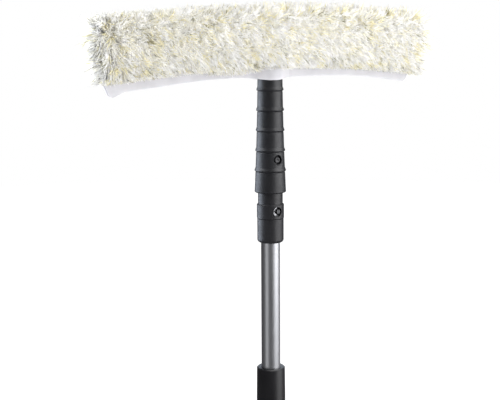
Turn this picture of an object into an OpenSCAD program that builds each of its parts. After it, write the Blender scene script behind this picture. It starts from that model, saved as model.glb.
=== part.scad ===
// Telescopic window washing pole with a ringed click-on handle and an arched
// T-bar washer. Millimetres, +Z up the pole, X along the washer, front facing -Y.
// The origin is the middle of the flat foot of the end cap.

/* [Pole] */
// Length of each aluminium tube
tube_len = 600; // [550:10:650]
// Outside diameter of the lower tube
outer_d = 22; // [21.6:0.1:22.4]
// Outside diameter of the upper tube
inner_d = 19; // [18.6:0.1:19.2]
// Bare length of the upper tube between the twist lock and the adapter
bare_len = 129; // [60:0.1:200]
// Height of the end cap under the lower tube
cap_h = 26; // [24:1:30]
// Diameter of the hanging hole in the end cap
hang_d = 8; // [6:0.5:9]
// Diameter of the rubber grip on the lower tube
grip_d = 29; // [28:0.5:32]
// Length of the rubber grip on the lower tube
grip_len = 130; // [110:5:160]

/* [Twist lock] */
// Height of the clamping nut
nut_h = 34.6; // [32:0.1:36]
// Diameter of the nut at its top
nut_top_d = 28.4; // [28.2:0.1:29]
// Diameter of the nut at its foot
nut_foot_d = 29.1; // [29:0.1:30]
// Height of the fixed sleeve under the nut
lock_body_h = 46; // [40:1:60]

/* [Adapter] */
// Height of the plain collar around the upper tube
collar_h = 24; // [20:0.1:30]
// Diameter of the collar
collar_d = 26.3; // [25.8:0.1:26.8]
// Height of the raised band
band_h = 14.9; // [13:0.1:18]
// Diameter of the raised band
band_d = 27; // [26.8:0.1:28]
// Height of the bare neck between the band and the handle
neck_h = 11.4; // [8:0.1:16]
// Diameter of the neck
neck_d = 24.6; // [23.5:0.1:25]
// Diameter of the hole in the band
band_hole_d = 9.4; // [9:0.1:10]
// Diameter of the tube's snap button
tube_button_d = 4.8; // [4.4:0.1:5.2]

/* [Handle] */
// Length of the handle below the washer's binding
handle_len = 113.7; // [110:0.1:125]
// Diameter of the handle at the binding
handle_top_d = 24.5; // [24:0.1:25]
// Depth of the first ring below the binding
ring_first = 14.2; // [10:0.1:15]
// Distance from ring to ring
ring_pitch = 19.8; // [19:0.1:20]
// Number of rings
ring_count = 5; // [3:1:5]
// How far a ring's bead stands proud
bead_proud = 0.9; // [0.5:0.1:1.3]
// Depth of the latch hole below the binding
latch_depth = 80.6; // [80:0.1:85]
// Diameter of the latch hole
latch_hole_d = 9; // [8.6:0.1:9.8]
// Diameter of the latch button
latch_button_d = 5.8; // [5.2:0.1:5.8]

/* [Washer] */
// Length of the white binding
binding_len = 347; // [330:1:360]
// Length of the pile sleeve
sleeve_len = 360; // [350:1:370]
// Thickness of the sleeve over its pile
sleeve_t = 50; // [46:1:54]
// Height from the binding's edge to the top of the pile
sleeve_h = 73; // [72:0.5:76]
// Radius of the washer's arch
arch_r = 1500; // [1200:10:2500]
// Height of the T-bar's section
bar_h = 40; // [36:1:41]
// Thickness of the T-bar's section
bar_t = 20; // [18:0.5:21]

/* [Hidden] */

$fn = 72;
arch_fn = 256;
fit_gap = 0.05;
eps = 0.02;

// Heights up the pole
tube_z = cap_h;
tube_top = tube_z + tube_len;
nut_top = tube_top + 28;
nut_z = nut_top - nut_h;
part_line = 0.4;
collar_z = nut_top + bare_len;
band_z = collar_z + collar_h;
neck_z = band_z + band_h;
handle_z = neck_z + neck_h;
binding_z = handle_z + handle_len;
arch_centre_z = binding_z - arch_r;

// Tubes
outer_wall = 1;
inner_wall = 0.9;
seat_depth = 44;
inner_top = collar_z + seat_depth;
inner_z = inner_top - tube_len;

// Snap buttons
band_hole_z = band_z + 8;
tube_button_z = band_hole_z;
tube_button_turn = 7;
tube_button_out = 12.3;
latch_z = binding_z - latch_depth;
latch_out = 13;
clip_t = 0.6;
clip_leg = 24;
clip_bend_r = 1.5;

// Handle
stem_r = 10;
stem_bore_r = 8.2;
plug_wall = 1.85;
plug_top = handle_z + 68;
handle_tuck = 8;
bead_r = 1.6;
bead_flare = 3;
bead_blend = 0.05;
groove_r = 0.75;
lip_r = 1.4;

// Washer, measured up from the binding's lower edge
bar_low = 18;
flange_low = 13;
sleeve_low = 9;
binding_h = 12;
flange_half = 35;
bar_half = 155;
bar_cap_len = 10;
bar_wall = 2.2;
screw_x = 24;

plastic = "#2b2d30";
plastic_light = "#3a3c40";
metal = "#b9bcc0";
steel = "#8d9094";
rubber = "#26272a";
white_tape = "#e9e9f0";
pile = "#f1eee2";

// Radius of the handle at a depth below the binding
function handle_r(depth) = handle_top_d / 2 + 0.009 * depth + 0.00018 * depth * depth;
// Depth below the binding at which ring i has its groove
function ring_depth(i) = ring_first + i * ring_pitch;
// Half the angle that an arched length covers
function arch_half(len) = asin(len / 2 / arch_r);

// A flat shape, drawn in (height, depth), swept along the washer's arch
module arch_sweep(len) {
    half = arch_half(len);
    translate([0, 0, arch_centre_z])
        rotate([90, 0, 0])
            rotate([0, 0, 90 - half])
                rotate_extrude(angle = 2 * half, $fn = arch_fn)
                    translate([arch_r, 0])
                        children();
}

// Places a child at a distance along the arch, turned with it
module on_arch(x) {
    angle = asin(x / arch_r);
    translate([0, 0, arch_centre_z])
        rotate([0, angle, 0])
            translate([0, 0, arch_r])
                children();
}

// A cylinder that points out of the front of the pole, from one radius to another
module front_rod(r, from, to, z) {
    translate([0, -from, z])
        rotate([90, 0, 0])
            cylinder(r = r, h = to - from);
}

// A rectangle with cut corners, centred across and standing on its first side
module cut_rect(low, high, t, cut) {
    polygon([
        [low + cut, -t / 2], [high - cut, -t / 2], [high, -t / 2 + cut],
        [high, t / 2 - cut], [high - cut, t / 2], [low + cut, t / 2],
        [low, t / 2 - cut], [low, -t / 2 + cut]
    ]);
}

// ---- Lower pole ----

module end_cap() {
    tongue_r = 11;
    flat_cut = 1.2;
    tongue_t = 16;
    hole_z = tongue_r - flat_cut;
    color(plastic) {
        difference() {
            union() {
                intersection() {
                    translate([0, tongue_t / 2, hole_z])
                        rotate([90, 0, 0])
                            cylinder(r = tongue_r, h = tongue_t);
                    translate([-tongue_r, -tongue_t / 2, 0])
                        cube([2 * tongue_r, tongue_t, hole_z]);
                }
                translate([-tongue_r, -tongue_t / 2, hole_z])
                    cube([2 * tongue_r, tongue_t, cap_h - 5 - hole_z]);
                translate([0, 0, cap_h - 6])
                    cylinder(r1 = 12.6, r2 = 13.5, h = 2);
                translate([0, 0, cap_h - 4])
                    cylinder(r = 13.5, h = 4);
                translate([0, 0, cap_h])
                    cylinder(r = outer_d / 2 - outer_wall - fit_gap, h = 22);
                translate([0, 0, cap_h + 22])
                    cylinder(r1 = outer_d / 2 - outer_wall - fit_gap, r2 = 8.5, h = 2);
            }
            translate([0, tongue_t, hole_z])
                rotate([90, 0, 0])
                    cylinder(d = hang_d, h = 2 * tongue_t);
        }
    }
}

module lower_grip() {
    groove_at = [5, 11, 17];
    color(rubber)
        rotate_extrude()
            difference() {
                polygon([
                    [outer_d / 2 + fit_gap, tube_z], [grip_d / 2 - 1.2, tube_z],
                    [grip_d / 2, tube_z + 1.2], [grip_d / 2, tube_z + grip_len - 1.2],
                    [grip_d / 2 - 1.2, tube_z + grip_len],
                    [outer_d / 2 + fit_gap, tube_z + grip_len]
                ]);
                for (g = groove_at) {
                    translate([grip_d / 2, tube_z + g])
                        circle(r = groove_r);
                    translate([grip_d / 2, tube_z + grip_len - g])
                        circle(r = groove_r);
                }
            }
}

module outer_tube() {
    color(metal)
        translate([0, 0, tube_z])
            difference() {
                cylinder(d = outer_d, h = tube_len);
                translate([0, 0, -1])
                    cylinder(r = outer_d / 2 - outer_wall, h = tube_len + 2);
            }
}

// ---- Twist lock ----

module lock_body() {
    shoulder_z = nut_z;
    spigot_r = 12.5;
    bore_r = outer_d / 2 + fit_gap;
    foot_z = shoulder_z - lock_body_h;
    color(plastic_light)
        rotate_extrude()
            polygon([
                [bore_r, foot_z], [bore_r + 0.9, foot_z],
                [nut_foot_d / 2 - 1, foot_z + 12], [nut_foot_d / 2, foot_z + 18],
                [nut_foot_d / 2, shoulder_z - 0.5], [nut_foot_d / 2 - 0.5, shoulder_z],
                [spigot_r, shoulder_z], [spigot_r, tube_top + 11],
                [spigot_r - 0.6, tube_top + 12], [bore_r, tube_top + 12]
            ]);
}

// Split ring that the nut squeezes onto the upper tube
module lock_collet() {
    slit = 1.6;
    collet_z = tube_top + 0.3;
    collet_r = outer_d / 2;
    color(plastic_light)
        difference() {
            rotate_extrude()
                polygon([
                    [inner_d / 2 + fit_gap, collet_z], [collet_r, collet_z],
                    [collet_r, tube_top + 13], [10.2, tube_top + 22],
                    [inner_d / 2 + fit_gap, tube_top + 22]
                ]);
            translate([-slit / 2, 0, collet_z - 1])
                cube([slit, 2 * collet_r, 30]);
        }
}

module lock_nut() {
    foot_z = nut_z + part_line;
    rim = 0.9;
    color(plastic)
        rotate_extrude()
            polygon([
                [12.57, foot_z], [nut_foot_d / 2 - 0.4, foot_z],
                [nut_foot_d / 2, foot_z + 0.4], [nut_top_d / 2, nut_top - rim],
                [nut_top_d / 2 - rim, nut_top], [12.2, nut_top], [11, nut_top - 0.5],
                [inner_d / 2 + 0.3, nut_top - 0.5], [inner_d / 2 + 0.3, tube_top + 22.5],
                [10.5, tube_top + 22.5], [11.35, tube_top + 13], [12.57, tube_top + 13]
            ]);
}

// ---- Upper tube ----

// Plastic bush on the lower end of the upper tube, which slides in the lower one
module guide_bush() {
    skirt = 6;
    color(plastic_light)
        rotate_extrude()
            polygon([
                [6, inner_z - skirt], [9.5, inner_z - skirt],
                [outer_d / 2 - outer_wall - fit_gap, inner_z - skirt + 0.5],
                [outer_d / 2 - outer_wall - fit_gap, inner_z],
                [inner_d / 2 - inner_wall - fit_gap, inner_z],
                [inner_d / 2 - inner_wall - fit_gap, inner_z + 14],
                [6, inner_z + 14]
            ]);
}

module inner_tube() {
    color(metal)
        difference() {
            translate([0, 0, inner_z])
                difference() {
                    cylinder(d = inner_d, h = tube_len);
                    translate([0, 0, -1])
                        cylinder(r = inner_d / 2 - inner_wall, h = tube_len + 2);
                }
            rotate([0, 0, tube_button_turn])
                front_rod(tube_button_d / 2 + fit_gap, 0, inner_d, tube_button_z);
        }
}

// V-shaped strip of spring steel with its button level at z, inside a bore
module snap_clip(reach, width, z) {
    low = z - clip_leg;
    top = z + 5;
    knee = z - 4;
    in_reach = reach - clip_t;
    outer_bend = [for (a = [180:20:360]) [clip_bend_r * cos(a), low + clip_bend_r * sin(a)]];
    in_r = clip_bend_r - clip_t;
    inner_bend = [for (a = [360:-20:180]) [in_r * cos(a), low + in_r * sin(a)]];
    rotate([90, 0, 90])
        linear_extrude(height = width, center = true)
            polygon(concat(
                [[-in_reach, top], [-reach, top], [-reach, knee]],
                outer_bend,
                [[reach, knee], [reach, top], [in_reach, top], [in_reach, knee]],
                inner_bend,
                [[-in_reach, knee]]
            ));
}

module tube_clip() {
    color(steel)
        rotate([0, 0, tube_button_turn])
            snap_clip(7.5, 8, tube_button_z);
}

module tube_button() {
    tip = 0.4;
    color(steel)
        rotate([0, 0, tube_button_turn])
            union() {
                front_rod(tube_button_d / 2, 7.5 + eps, tube_button_out - tip, tube_button_z);
                translate([0, -tube_button_out + tip, tube_button_z])
                    rotate([90, 0, 0])
                        cylinder(r1 = tube_button_d / 2, r2 = tube_button_d / 2 - tip, h = tip);
            }
}

// ---- Adapter between the upper tube and the handle ----

module adapter_outline() {
    plug_r = stem_bore_r - fit_gap;
    foot_r = 3;
    cut = 0.8;
    difference() {
        union() {
            translate([0, collar_z + foot_r])
                square([collar_d / 2, collar_h - foot_r]);
            translate([0, collar_z])
                square([collar_d / 2 - foot_r, foot_r]);
            translate([collar_d / 2 - foot_r, collar_z + foot_r])
                circle(r = foot_r);
            polygon([
                [0, band_z], [band_d / 2 - cut, band_z], [band_d / 2, band_z + cut],
                [band_d / 2, neck_z - cut], [band_d / 2 - cut, neck_z], [0, neck_z]
            ]);
            translate([0, neck_z])
                square([neck_d / 2, neck_h]);
            polygon([
                [0, handle_z], [plug_r, handle_z], [plug_r, plug_top - 2],
                [plug_r - 1, plug_top], [0, plug_top]
            ]);
        }
        translate([0, collar_z - 1])
            square([inner_d / 2 + fit_gap, seat_depth + 1]);
        translate([0, inner_top + 12])
            square([plug_r - plug_wall, plug_top]);
        translate([-2 * band_d, collar_z - 1])
            square([2 * band_d, 2 * plug_top]);
    }
}

module adapter() {
    color(plastic)
        difference() {
            rotate_extrude()
                adapter_outline();
            front_rod(band_hole_d / 2, 0, band_d, band_hole_z);
            front_rod(latch_button_d / 2 + fit_gap, 0, band_d, latch_z);
        }
}

module latch_clip() {
    color(steel)
        snap_clip(5.1, 7, latch_z);
}

module latch_button() {
    tip = 0.5;
    dimple_r = 2.2;
    color(plastic_light)
        difference() {
            union() {
                front_rod(latch_button_d / 2, 5.1 + eps, latch_out - tip, latch_z);
                translate([0, -latch_out + tip, latch_z])
                    rotate([90, 0, 0])
                        cylinder(r1 = latch_button_d / 2, r2 = latch_button_d / 2 - tip, h = tip);
            }
            translate([0, -latch_out - dimple_r + 0.6, latch_z])
                sphere(r = dimple_r);
        }
}

// ---- Handle ----

// Rigid stem under the T-bar: a flange that is screwed to the bar, and a socket
module tbar_stem() {
    stem_top = binding_z + flange_low + 2;
    socket_top = plug_top + 4;
    color(plastic)
        difference() {
            union() {
                arch_sweep(2 * flange_half)
                    cut_rect(flange_low, bar_low - eps, bar_t, 0.8);
                translate([0, 0, handle_z + 0.6])
                    cylinder(r = stem_r, h = stem_top - handle_z - 0.6);
            }
            translate([0, 0, handle_z])
                cylinder(r = stem_bore_r, h = socket_top - handle_z);
            front_rod(latch_button_d / 2 + 0.1, 0, 2 * stem_r, latch_z);
            for (side = [-1, 1])
                on_arch(side * screw_x)
                    screw_space();
        }
}

module screw_space() {
    translate([0, 0, flange_low - 1])
        cylinder(r = 1.95, h = 20);
    translate([0, 0, flange_low])
        cylinder(r1 = 3.7, r2 = 1.95, h = 2.3);
    translate([0, 0, flange_low - 2])
        cylinder(r = 3.7, h = 2 + eps);
}

// Half of a ring's bead, whose upper side flares out of the handle
module ring_bead(depth) {
    middle = [handle_r(depth) + bead_proud - bead_r, binding_z - depth];
    start = [handle_r(depth - bead_flare) - bead_blend, binding_z - depth + bead_flare];
    reach = start - middle;
    turn = atan2(reach[1], reach[0]) - acos(bead_r / norm(reach));
    translate(middle)
        circle(r = bead_r);
    polygon([
        middle, middle + (bead_r - bead_blend) * [cos(turn), sin(turn)],
        start, [middle[0], start[1]]
    ]);
}

module handle_outline() {
    low_r = handle_r(handle_len);
    ring_depths = [for (i = [ring_count - 1:-1:0]) ring_depth(i)];
    side_depths = concat([handle_len - lip_r], ring_depths, [-handle_tuck]);
    side = [for (depth = side_depths) [handle_r(depth), binding_z - depth]];
    difference() {
        union() {
            polygon(concat(
                [[stem_r - 2, handle_z], [low_r - lip_r, handle_z]],
                side,
                [[stem_r - 2, binding_z + handle_tuck]]
            ));
            for (depth = ring_depths)
                ring_bead(depth - groove_r - bead_r + 0.4);
            translate([low_r - lip_r, handle_z + lip_r])
                circle(r = lip_r);
        }
        for (depth = ring_depths)
            translate([handle_r(depth) + 0.45, binding_z - depth])
                circle(r = groove_r);
        translate([0, handle_z - 1])
            square([stem_r, handle_len + handle_tuck + 2]);
    }
}

// Ringed outer grip, with the hole for the latch button in its front
module handle_grip() {
    latch_r = handle_r(latch_depth);
    color(plastic)
        difference() {
            rotate_extrude()
                handle_outline();
            front_rod(latch_hole_d / 2, 0, 2 * latch_r, latch_z);
            translate([0, -latch_r + 0.9, latch_z])
                rotate([90, 0, 0])
                    cylinder(r1 = latch_hole_d / 2, r2 = latch_hole_d / 2 + 1.5, h = 1.5);
        }
}

module stem_screws() {
    color(steel)
        for (side = [-1, 1])
            on_arch(side * screw_x)
                union() {
                    translate([0, 0, flange_low + 0.1])
                        cylinder(r1 = 3.6, r2 = 1.9, h = 2.2);
                    translate([0, 0, flange_low + 0.2])
                        cylinder(r = 1.9, h = 15);
                }
}

// ---- T-bar ----

module tbar_beam() {
    window_r = 12;
    window_first = 46;
    window_pitch = 36;
    boss_h = 12;
    color(plastic)
        difference() {
            union() {
                difference() {
                    arch_sweep(2 * bar_half)
                        cut_rect(bar_low, bar_low + bar_h, bar_t, 3);
                    arch_sweep(2 * bar_half + 4)
                        cut_rect(bar_low + bar_wall, bar_low + bar_h - bar_wall,
                                 bar_t - 2 * bar_wall, 2);
                }
                for (side = [-1, 1])
                    on_arch(side * screw_x)
                        translate([0, 0, bar_low + bar_wall / 2])
                            cylinder(r = 4.5, h = boss_h);
            }
            for (side = [-1, 1])
                on_arch(side * screw_x)
                    translate([0, 0, bar_low - 2])
                        cylinder(r = 1.95, h = 14);
            for (side = [-1, 1], i = [0:2])
                on_arch(side * (window_first + i * window_pitch))
                    translate([0, bar_t, bar_low + bar_h / 2])
                        rotate([90, 0, 0])
                            cylinder(r = window_r, h = 2 * bar_t);
        }
}

// Plug and rounded nose for one end of the bar
module tbar_end_cap(side) {
    full = 2 * (bar_half + bar_cap_len);
    plug_len = 9;
    color(plastic)
        intersection() {
            union() {
                difference() {
                    arch_sweep(full)
                        cut_rect(bar_low + 2, bar_low + bar_h - 2, bar_t - 4, 3);
                    arch_sweep(2 * bar_half)
                        translate([bar_low - 2, -bar_t])
                            square([bar_h + 4, 2 * bar_t]);
                }
                difference() {
                    arch_sweep(full - 5)
                        cut_rect(bar_low, bar_low + bar_h, bar_t, 3);
                    arch_sweep(2 * bar_half)
                        translate([bar_low - 2, -bar_t])
                            square([bar_h + 4, 2 * bar_t]);
                }
                difference() {
                    arch_sweep(2 * bar_half)
                        cut_rect(bar_low + bar_wall + fit_gap, bar_low + bar_h - bar_wall - fit_gap,
                                 bar_t - 2 * bar_wall - 2 * fit_gap, 2);
                    arch_sweep(2 * (bar_half - plug_len))
                        translate([bar_low - 2, -bar_t])
                            square([bar_h + 4, 2 * bar_t]);
                }
            }
            translate([side > 0 ? 0 : -sleeve_len, -bar_t, binding_z - 50])
                cube([sleeve_len, 2 * bar_t, 200]);
        }
}

// ---- Washer sleeve ----

// Outer shape of the pile across the sleeve
module sleeve_section() {
    top_r = sleeve_t / 2;
    low_r = 15;
    top_h = sleeve_h - top_r;
    low_h = sleeve_low + low_r;
    lean = asin((top_r - low_r) / (top_h - low_h));
    union() {
        translate([top_h, 0])
            circle(r = top_r);
        translate([low_h, 0])
            circle(r = low_r);
        polygon([
            [top_h - top_r * sin(lean), top_r * cos(lean)],
            [low_h - low_r * sin(lean), low_r * cos(lean)],
            [low_h - low_r * sin(lean), -low_r * cos(lean)],
            [top_h - top_r * sin(lean), -top_r * cos(lean)]
        ]);
    }
}

// Pile fabric sewn to a sleeve, open along its foot, with a pocket for the T-bar
module washer_sleeve() {
    room = 0.5;
    slot_t = 6.6;
    color(pile)
        difference() {
            arch_sweep(sleeve_len)
                sleeve_section();
            arch_sweep(2 * (bar_half + bar_cap_len + 1))
                cut_rect(bar_low - room, bar_low + bar_h + room, bar_t + 2 * room, 1);
            arch_sweep(2 * flange_half + 2)
                cut_rect(flange_low - room, bar_low + 2, bar_t + 2 * room, 0.5);
            arch_sweep(binding_len + 1)
                translate([0, -slot_t / 2])
                    square([bar_low + 1, slot_t]);
            translate([0, 0, binding_z - 5])
                cylinder(r = 14.4, h = flange_low + 5);
        }
}

// One white tape along the sleeve's foot, which bulges around the handle
module binding(side) {
    inner_y = 1.3;
    tape_t = 1.6;
    bulge_r = 12.6;
    droop = 1;
    color(white_tape)
        difference() {
            union() {
                arch_sweep(binding_len)
                    translate([0, -side * (inner_y + tape_t / 2) - tape_t / 2])
                        square([binding_h, tape_t]);
                intersection() {
                    translate([0, 0, binding_z - droop])
                        cylinder(r = bulge_r + tape_t, h = binding_h + droop - 0.2);
                    translate([-20, side > 0 ? inner_y : -20 - inner_y, binding_z - 10])
                        cube([40, 20, 40]);
                }
            }
            translate([0, 0, binding_z - 10])
                cylinder(r = bulge_r, h = 40);
        }
}

// Half of the hook-and-loop closure, in two lengths, one each side of the handle
module closure_tape(side) {
    tape_t = 1.1;
    color(white_tape)
        difference() {
            arch_sweep(2 * bar_half)
                translate([2, side > 0 ? -tape_t - fit_gap : fit_gap])
                    square([9, tape_t]);
            translate([-18, -20, binding_z - 20])
                cube([36, 40, 60]);
        }
}

end_cap();
lower_grip();
outer_tube();
lock_body();
lock_collet();
lock_nut();
guide_bush();
inner_tube();
tube_clip();
tube_button();
adapter();
latch_clip();
latch_button();
tbar_stem();
handle_grip();
stem_screws();
tbar_beam();
tbar_end_cap(-1);  // tbar_end_cap_left
tbar_end_cap(1);  // tbar_end_cap_right
washer_sleeve();
binding(-1);  // binding_front
binding(1);  // binding_back
closure_tape(-1);  // hook_tape
closure_tape(1);  // loop_tape
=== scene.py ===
"""A telescopic window washing pole: the washer's pile, tapes and clips, every
surface's material, and a plain white studio round them. Metres, +Z up the
pole, X along the washer, front facing -Y."""

import math

import bpy
import numpy as np
from mathutils import Matrix, Vector


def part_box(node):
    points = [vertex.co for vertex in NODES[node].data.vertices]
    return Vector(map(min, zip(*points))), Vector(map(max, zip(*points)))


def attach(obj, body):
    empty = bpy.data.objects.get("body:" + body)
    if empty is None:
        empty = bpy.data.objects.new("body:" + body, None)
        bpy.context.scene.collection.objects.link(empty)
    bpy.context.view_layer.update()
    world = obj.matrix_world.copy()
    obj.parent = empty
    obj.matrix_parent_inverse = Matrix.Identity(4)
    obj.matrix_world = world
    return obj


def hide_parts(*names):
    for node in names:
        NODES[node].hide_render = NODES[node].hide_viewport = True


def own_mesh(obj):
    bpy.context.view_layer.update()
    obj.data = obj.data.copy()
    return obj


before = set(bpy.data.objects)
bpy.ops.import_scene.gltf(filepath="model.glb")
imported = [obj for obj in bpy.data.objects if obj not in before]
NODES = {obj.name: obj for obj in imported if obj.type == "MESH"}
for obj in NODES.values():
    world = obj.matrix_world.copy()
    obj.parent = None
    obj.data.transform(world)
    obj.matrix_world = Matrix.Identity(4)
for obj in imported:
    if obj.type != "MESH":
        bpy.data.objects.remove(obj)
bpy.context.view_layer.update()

# ---- Sizes that come from the frame ----

MM = 0.001
# How far the handle reaches up between the bindings
HANDLE_TUCK = 8 * MM
# Height of the bindings' lower edge at the middle of the washer
BINDING_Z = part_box("handle_grip")[1].z - HANDLE_TUCK
# The washer is bent upwards in an arch, whose centre lies far below it
ARCH_R = 1.5
ARCH_CENTRE_Z = BINDING_Z - ARCH_R

# ---- Geometry helpers ----


def on_arch(s, y, h):
    """Points a distance s along the washer, y deep and h above the binding's lower edge."""
    s, y, h = np.broadcast_arrays(np.asarray(s, float), y, h)
    angle = s / ARCH_R
    reach = ARCH_R + h
    return np.stack([reach * np.sin(angle), y, ARCH_CENTRE_Z + reach * np.cos(angle)], -1)


def smooth_step(x):
    """0 below 0, 1 above 1, and a smooth rise between them."""
    x = np.clip(x, 0, 1)
    return x * x * (3 - 2 * x)


def hill(s, middle, reach, power=2):
    """1 at the middle, falling smoothly to 0 a few reaches away from it."""
    return np.exp(-(((s - middle) / reach) ** power))


def unit(v):
    return v / np.maximum(np.linalg.norm(v, axis=-1, keepdims=True), 1e-12)


def new_object(name, vertices, faces, material, slot, *replaced, smooth=True):
    """A piece made from vertices and faces."""
    mesh = bpy.data.meshes.new(name)
    mesh.from_pydata(vertices, [], faces)
    mesh.polygons.foreach_set("use_smooth", [smooth] * len(mesh.polygons))
    return add_piece(name, mesh, material, slot, *replaced)


def add_piece(name, mesh, material, slot, *replaced):
    """A piece that rides on the upper pole, with its finish and the CAD node that it replaces."""
    piece = bpy.data.objects.new(name, mesh)
    bpy.context.scene.collection.objects.link(piece)
    mesh.materials.append(material)
    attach(piece, "upper_pole")
    if replaced:
        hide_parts(*replaced)
    return piece


def grid_faces(rows, columns):
    """Quads over a grid of points numbered row by row."""
    corner = (np.arange(rows - 1)[:, None] * columns + np.arange(columns - 1)).ravel()
    return np.stack([corner, corner + 1, corner + columns + 1, corner + columns], -1).tolist()


def thread_mesh(name, paths, radii, sides=3):
    """One mesh of many thin threads, each ending in a point, and how far along its thread each of
    one thread's vertices is. paths is (threads, points, 3) and radii is (threads, points)."""
    count, points = paths.shape[:2]
    ahead = unit(np.gradient(paths, axis=1))
    helper = np.where(np.abs(ahead[..., 2:]) < 0.9, [0.0, 0.0, 1.0], [1.0, 0.0, 0.0])
    side = unit(np.cross(ahead, helper))
    over = np.cross(ahead, side)
    turn = np.arange(sides) * 2 * math.pi / sides
    ring = side[:, :-1, None] * np.cos(turn)[:, None] + over[:, :-1, None] * np.sin(turn)[:, None]
    rings = paths[:, :-1, None] + ring * radii[:, :-1, None, None]
    per_thread = (points - 1) * sides + 1
    vertices = np.concatenate([rings.reshape(count, -1, 3), paths[:, -1:]], axis=1).reshape(-1, 3)

    quads, tip = [], per_thread - 1
    for level in range(points - 2):
        for k in range(sides):
            a, b = level * sides + k, level * sides + (k + 1) % sides
            quads.append([a, b, b + sides, a + sides])
    top = (points - 2) * sides
    tips = [[top + k, top + (k + 1) % sides, tip] for k in range(sides)]
    first = (np.arange(count) * per_thread)[:, None, None]
    quad_index = (np.array(quads)[None] + first).reshape(-1)
    tip_index = (np.array(tips)[None] + first).reshape(-1)

    mesh = bpy.data.meshes.new(name)
    mesh.vertices.add(len(vertices))
    mesh.vertices.foreach_set("co", vertices.astype(np.float32).ravel())
    mesh.loops.add(len(quad_index) + len(tip_index))
    mesh.loops.foreach_set("vertex_index", np.concatenate([quad_index, tip_index]).astype(np.int32))
    quad_starts = np.arange(len(quad_index) // 4) * 4
    tip_starts = len(quad_index) + np.arange(len(tip_index) // 3) * 3
    mesh.polygons.add(len(quad_starts) + len(tip_starts))
    starts = np.concatenate([quad_starts, tip_starts]).astype(np.int32)
    mesh.polygons.foreach_set("loop_start", starts)
    mesh.update(calc_edges=True)
    mesh.polygons.foreach_set("use_smooth", [True] * len(mesh.polygons))
    along = np.append(np.repeat(np.arange(points - 1), sides), points - 1) / (points - 1)
    return mesh, along


# ---- Material helpers ----


class Shader:
    """One material's nodes. Constants go straight on the Principled node's sockets."""

    def __init__(self, name, **constants):
        self.material = bpy.data.materials.new(name)
        self.material.use_nodes = True
        self.tree = self.material.node_tree
        self.bsdf = self.tree.nodes["Principled BSDF"]
        for socket, value in constants.items():
            self.bsdf.inputs[socket.replace("_", " ")].default_value = value
        self.place = self.node("ShaderNodeTexCoord").outputs["Object"]

    def node(self, kind, **settings):
        made = self.tree.nodes.new(kind)
        for name, value in settings.items():
            setattr(made, name, value)
        return made

    def join(self, source, target):
        self.tree.links.new(source, target)

    def set(self, socket, source):
        self.join(source, self.bsdf.inputs[socket])

    def stretched(self, x, y, z):
        """The object's own coordinates, scaled on each axis."""
        scaled = self.node("ShaderNodeVectorMath", operation="MULTIPLY")
        scaled.inputs[1].default_value = (x, y, z)
        self.join(self.place, scaled.inputs[0])
        return scaled.outputs[0]

    def attribute(self, name, output):
        """What the mesh holds under this name at each vertex."""
        return self.node("ShaderNodeAttribute", attribute_name=name).outputs[output]

    def noise(self, scale, detail=3.0, vector=None):
        made = self.node("ShaderNodeTexNoise")
        made.inputs["Scale"].default_value = scale
        made.inputs["Detail"].default_value = detail
        self.join(vector or self.place, made.inputs["Vector"])
        return made.outputs["Fac"]

    def wave(self, scale, direction, distortion=0.0, vector=None):
        made = self.node("ShaderNodeTexWave", bands_direction=direction)
        made.inputs["Scale"].default_value = scale
        made.inputs["Distortion"].default_value = distortion
        self.join(vector or self.place, made.inputs["Vector"])
        return made.outputs["Fac"]

    def ranged(self, source, low, high, out_low, out_high):
        """source from low..high onto out_low..out_high, clamped."""
        made = self.node("ShaderNodeMapRange")
        values = (low, high, out_low, out_high)
        for name, value in zip(("From Min", "From Max", "To Min", "To Max"), values):
            made.inputs[name].default_value = value
        self.join(source, made.inputs["Value"])
        return made.outputs["Result"]

    def maths(self, operation, a, b):
        made = self.node("ShaderNodeMath", operation=operation)
        for socket, value in zip(made.inputs, (a, b)):
            if isinstance(value, (int, float)):
                socket.default_value = value
            else:
                self.join(value, socket)
        return made.outputs[0]

    def mix(self, factor, a, b, blend="MIX"):
        """Two colours mixed. a and b are RGB triples or outputs."""
        made = self.node("ShaderNodeMix", data_type="RGBA", blend_type=blend)
        for socket, value in ((0, factor), (6, a), (7, b)):
            target = made.inputs[socket]
            if isinstance(value, (int, float)):
                target.default_value = value
            elif isinstance(value, tuple):
                target.default_value = (*value, 1)
            else:
                self.join(value, target)
        return made.outputs[2]

    def bump(self, height, distance, strength=1.0):
        made = self.node("ShaderNodeBump")
        made.inputs["Strength"].default_value = strength
        made.inputs["Distance"].default_value = distance
        self.join(height, made.inputs["Height"])
        self.set("Normal", made.outputs["Normal"])


def moulded_plastic(name, dark, light, rough, specular=0.5, grain=0.04 * MM):
    """Satin moulded plastic: a fine eroded grain, faint cloudiness and a little dust."""
    shader = Shader(name, Specular_IOR_Level=specular)
    cloud = shader.ranged(shader.noise(45, 4), 0.35, 0.65, 0, 1)
    body = shader.mix(cloud, dark, light)
    specks = shader.ranged(shader.noise(700, 2), 0.68, 0.76, 0, 0.35)
    dust = tuple(min(4 * c + 0.03, 1) for c in light)
    shader.set("Base Color", shader.mix(specks, body, dust))
    patches = shader.noise(160, 5)
    shader.set("Roughness", shader.ranged(patches, 0.3, 0.7, rough - 0.05, rough + 0.06))
    shader.bump(shader.noise(2600, 2), grain)
    return shader.material


def drawn_aluminium(name, dark, light, rough):
    """Anodised tube with fine lines along its length, from drawing."""
    shader = Shader(name, Metallic=1.0)
    lines = shader.noise(1.0, 3, shader.stretched(1500, 1500, 4))
    shader.set("Base Color", shader.mix(shader.ranged(lines, 0.35, 0.65, 0, 1), dark, light))
    smudges = shader.noise(28, 5)
    shader.set("Roughness", shader.ranged(smudges, 0.35, 0.7, rough - 0.01, rough + 0.02))
    shader.bump(lines, 0.003 * MM)
    return shader.material


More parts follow.
